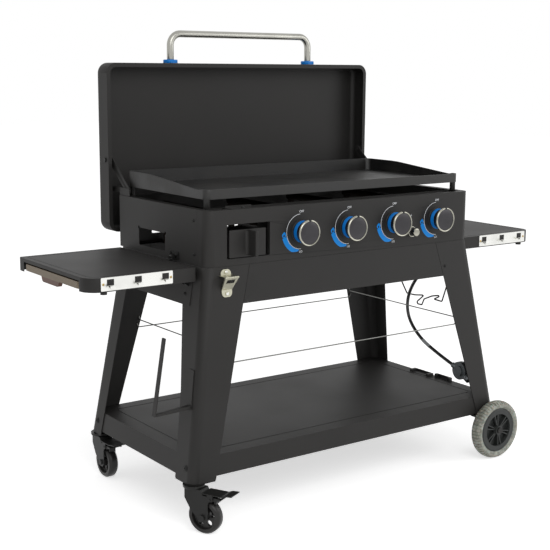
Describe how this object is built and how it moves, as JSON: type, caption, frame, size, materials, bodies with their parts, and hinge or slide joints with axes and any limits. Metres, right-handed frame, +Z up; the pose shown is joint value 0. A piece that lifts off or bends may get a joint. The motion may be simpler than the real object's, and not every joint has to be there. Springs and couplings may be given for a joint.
{
  "type": "outdoor gas griddle station",
  "caption": "Outdoor gas griddle station: flat cooking plate on a firebox with control knobs, a lid on folding links, drop-down side shelves and a wheeled cart with a lower shelf.",
  "frame": {"origin": "On the ground under the middle of the whole station", "axes": "+X to the right as seen from the front, +Y to the back, +Z up"},
  "size_m": [1.6852, 0.7791, 1.382],
  "materials": {
    "black_coat": "satin black powder coat with a fine orange peel",
    "seasoned_plate": "black seasoned steel",
    "bright_steel": "brushed stainless steel",
    "bright_wire": "plated wire",
    "black_steel": "black zinc and e-coated steel",
    "brass": "turned brass",
    "blue_plastic": "bright blue gloss plastic",
    "dark_chrome": "dark metallic plastic with a brushed face",
    "chrome": "polished chrome",
    "black_plastic": "black gloss plastic",
    "hose_rubber": "black rubber hose",
    "regulator_grey": "dark grey painted zinc casting",
    "board_wood": "oiled reddish hardwood",
    "caster_plastic": "dark grey moulded plastic",
    "rim_plastic": "dark grey moulded plastic",
    "tyre": "grey green soft tyre"
  },
  "bodies": {
    "cart": {"leg_front_left": "black_coat", "leg_front_right": "black_coat", "leg_rear_left": "black_coat", "leg_rear_right": "black_coat", "front_apron": "black_coat", "rear_apron": "black_coat", "side_apron_left": "black_coat", "side_apron_right": "black_coat", "lower_shelf": "black_coat", "brace_wires": "bright_wire", "bottle_opener": "bright_steel", "towel_holder": "black_coat", "tank_hook": "black_steel", "shelf_hinges": "black_steel", "frame_bolts": "black_steel"},
    "firebox": {"firebox_shell": "black_coat", "control_panel": "black_coat", "burners": "bright_steel", "gas_manifold": "bright_steel", "gas_valves": "brass", "lid_brackets": "black_coat", "knob_bezels": "blue_plastic", "igniter_collar": "chrome", "grease_chute": "black_coat", "latch_plates": "bright_steel", "firebox_screws": "bright_steel", "gas_hose": "hose_rubber", "regulator": "regulator_grey"},
    "knob_1": {"knob_1": "dark_chrome"},
    "knob_2": {"knob_2": "dark_chrome"},
    "knob_3": {"knob_3": "dark_chrome"},
    "knob_4": {"knob_4": "dark_chrome"},
    "igniter_button": {"igniter_button": "black_plastic"},
    "grease_tray": {"grease_tray": "black_coat"},
    "griddle_plate": {"griddle_plate": "seasoned_plate"},
    "lid": {"lid": "black_coat", "lid_handle": "bright_steel", "handle_bezels": "blue_plastic", "lid_bolts": "black_steel"},
    "lid_link_left": {"lid_link_left": "black_coat"},
    "lid_link_right": {"lid_link_right": "black_coat"},
    "lid_strut_left": {"lid_strut_left": "black_coat"},
    "lid_strut_right": {"lid_strut_right": "black_coat"},
    "shelf_left": {"shelf_left": "black_coat", "hook_strip_left": "bright_steel"},
    "shelf_right": {"shelf_right": "black_coat", "hook_strip_right": "bright_steel"},
    "cutting_board": {"cutting_board": "board_wood"},
    "latch_left": {"latch_left": "bright_steel"},
    "latch_right": {"latch_right": "bright_steel"},
    "caster_fork_front": {"caster_fork_front": "black_steel"},
    "caster_wheel_front": {"caster_wheel_front": "caster_plastic"},
    "caster_brake_front": {"caster_brake_front": "black_steel"},
    "large_wheel_front": {"wheel_rim_front": "rim_plastic", "tyre_front": "tyre"},
    "caster_fork_rear": {"caster_fork_rear": "black_steel"},
    "caster_wheel_rear": {"caster_wheel_rear": "caster_plastic"},
    "caster_brake_rear": {"caster_brake_rear": "black_steel"},
    "large_wheel_rear": {"wheel_rim_rear": "rim_plastic", "tyre_rear": "tyre"}
  },
  "joints": [
    {"name": "firebox_lift_off", "type": "slide", "parent": "cart", "child": "firebox", "axis": [0, 0, 1], "range_m": [0, 0.1]},
    {"name": "griddle_lift_off", "type": "slide", "parent": "firebox", "child": "griddle_plate", "axis": [0, 0, 1], "range_m": [0, 0.12]},
    {"name": "lid_fold", "type": "hinge", "parent": "firebox", "child": "lid_link_left", "pos_m": [-0.4935, 0.2288, 0.896], "axis": [1, 0, 0], "range_deg": [0, 129.63]},
    {"name": "lid_link_right_turn", "type": "hinge", "parent": "firebox", "child": "lid_link_right", "pos_m": [0.4935, 0.2288, 0.896], "axis": [1, 0, 0], "range_deg": [0, 129.63]},
    {"name": "lid_turn", "type": "hinge", "parent": "lid_link_left", "child": "lid", "pos_m": [-0.4935, 0.3396, 0.9845], "axis": [1, 0, 0], "range_deg": [-39.63, 0]},
    {"name": "lid_strut_left_turn", "type": "hinge", "parent": "firebox", "child": "lid_strut_left", "pos_m": [-0.4875, 0.264, 0.896], "axis": [1, 0, 0], "range_deg": [0, 148.56]},
    {"name": "lid_strut_right_turn", "type": "hinge", "parent": "firebox", "child": "lid_strut_right", "pos_m": [0.4875, 0.264, 0.896], "axis": [1, 0, 0], "range_deg": [0, 148.56]},
    {"name": "knob_1_turn", "type": "hinge", "parent": "firebox", "child": "knob_1", "pos_m": [-0.178, -0.2411, 0.803], "axis": [0, 1, 0], "range_deg": [-180, 0]},
    {"name": "knob_2_turn", "type": "hinge", "parent": "firebox", "child": "knob_2", "pos_m": [0, -0.2411, 0.803], "axis": [0, 1, 0], "range_deg": [-180, 0]},
    {"name": "knob_3_turn", "type": "hinge", "parent": "firebox", "child": "knob_3", "pos_m": [0.178, -0.2411, 0.803], "axis": [0, 1, 0], "range_deg": [-180, 0]},
    {"name": "knob_4_turn", "type": "hinge", "parent": "firebox", "child": "knob_4", "pos_m": [0.356, -0.2411, 0.803], "axis": [0, 1, 0], "range_deg": [-180, 0]},
    {"name": "igniter_push", "type": "slide", "parent": "firebox", "child": "igniter_button", "axis": [0, 1, 0], "range_m": [0, 0.006], "stiffness_N_per_m": 300},
    {"name": "grease_tray_slide", "type": "slide", "parent": "firebox", "child": "grease_tray", "axis": [0, -1, 0], "range_m": [0, 0.115]},
    {"name": "shelf_left_fold", "type": "hinge", "parent": "cart", "child": "shelf_left", "pos_m": [-0.5276, 0.0289, 0.691], "axis": [0, -1, 0], "range_deg": [0, 82]},
    {"name": "shelf_right_fold", "type": "hinge", "parent": "cart", "child": "shelf_right", "pos_m": [0.5276, 0.0289, 0.691], "axis": [0, 1, 0], "range_deg": [0, 82]},
    {"name": "cutting_board_slide", "type": "slide", "parent": "shelf_left", "child": "cutting_board", "axis": [-1, 0, 0], "range_m": [0, 0.25]},
    {"name": "latch_left_turn", "type": "hinge", "parent": "firebox", "child": "latch_left", "pos_m": [-0.5093, -0.04855, 0.737], "axis": [0, -1, 0], "range_deg": [0, 10]},
    {"name": "latch_right_turn", "type": "hinge", "parent": "firebox", "child": "latch_right", "pos_m": [0.5093, -0.04855, 0.737], "axis": [0, 1, 0], "range_deg": [0, 10]},
    {"name": "caster_front_swivel", "type": "hinge", "parent": "cart", "child": "caster_fork_front", "pos_m": [-0.57, -0.2611, 0.13], "axis": [0, 0, 1], "continuous": true},
    {"name": "caster_front_roll", "type": "hinge", "parent": "caster_fork_front", "child": "caster_wheel_front", "pos_m": [-0.55275, -0.29496, 0.0495], "axis": [0.891, 0.454, 0], "continuous": true},
    {"name": "caster_front_brake", "type": "hinge", "parent": "caster_fork_front", "child": "caster_brake_front", "pos_m": [-0.54095, -0.31812, 0.1065], "axis": [0.891, 0.454, 0], "range_deg": [0, 8]},
    {"name": "caster_rear_swivel", "type": "hinge", "parent": "cart", "child": "caster_fork_rear", "pos_m": [-0.57, 0.2949, 0.13], "axis": [0, 0, 1], "continuous": true},
    {"name": "caster_rear_roll", "type": "hinge", "parent": "caster_fork_rear", "child": "caster_wheel_rear", "pos_m": [-0.57, 0.2569, 0.0495], "axis": [1, 0, 0], "continuous": true},
    {"name": "caster_rear_brake", "type": "hinge", "parent": "caster_fork_rear", "child": "caster_brake_rear", "pos_m": [-0.57, 0.2309, 0.1065], "axis": [1, 0, 0], "range_deg": [0, 8]},
    {"name": "large_wheel_front_roll", "type": "hinge", "parent": "cart", "child": "large_wheel_front", "pos_m": [0.567, -0.3111, 0.096], "axis": [0, 1, 0], "continuous": true},
    {"name": "large_wheel_rear_roll", "type": "hinge", "parent": "cart", "child": "large_wheel_rear", "pos_m": [0.567, 0.3449, 0.096], "axis": [0, 1, 0], "continuous": true}
  ],
  "couplings": [
    {"joint": "lid_turn", "follows": "lid_fold", "ratio": -0.30572},
    {"joint": "lid_link_right_turn", "follows": "lid_fold", "ratio": 1},
    {"joint": "lid_strut_left_turn", "follows": "lid_fold", "ratio": 1.1461},
    {"joint": "lid_strut_right_turn", "follows": "lid_fold", "ratio": 1.1461}
  ]
}
